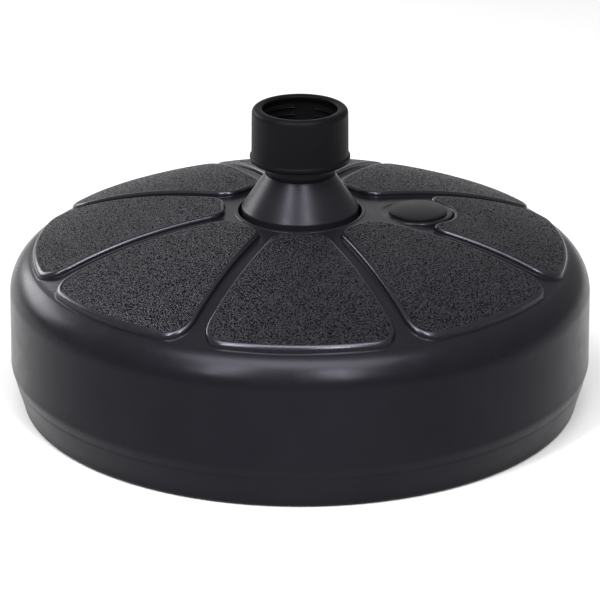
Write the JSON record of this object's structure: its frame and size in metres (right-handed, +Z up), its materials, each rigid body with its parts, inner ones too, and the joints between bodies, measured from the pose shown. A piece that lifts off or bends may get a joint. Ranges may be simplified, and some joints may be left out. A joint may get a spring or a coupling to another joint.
{
  "type": "parasol base",
  "caption": "Dark grey round fillable plastic parasol base with grained raised panels, a cone, a ring nut clamp for the pole and a push-in filler cap.",
  "frame": {"origin": "centre of the tank's underside, on the plane that the base stands on", "axes": "+Z up along the pole, +X towards the filler cap, -Y through the middle of the front panel"},
  "size_m": [0.502, 0.502, 0.2609],
  "materials": {
    "tank_shell": "satin blow-moulded plastic, grained on the panels",
    "cone_shell": "smooth semi-gloss",
    "tube_shell": "satin",
    "collet_body": "satin",
    "nut_body": "matte with a soft sheen",
    "cap_body": "smooth satin",
    "seal_rubber": "matte"
  },
  "bodies": {
    "base": {"tank": "tank_shell", "neck_cone": "cone_shell", "pole_tube": "tube_shell"},
    "collet": {"clamp_collet": "collet_body"},
    "nut": {"clamp_nut": "nut_body"},
    "cap": {"filler_cap": "cap_body", "cap_seal": "seal_rubber"}
  },
  "joints": [
    {"name": "collet_slide", "type": "slide", "parent": "base", "child": "collet", "axis": [0, 0, 1], "range_m": [-0.00435, 0.00905]},
    {"name": "nut_turn", "type": "hinge", "parent": "collet", "child": "nut", "pos_m": [0, 0, 0.2142], "axis": [0, 0, 1], "range_deg": [-240, 500]},
    {"name": "cap_lift", "type": "slide", "parent": "base", "child": "cap", "axis": [0, 0, 1], "range_m": [0, 0.03]}
  ],
  "couplings": [
    {"joint": "collet_slide", "follows": "nut_turn", "m_per_rad": 0.0010345}
  ]
}
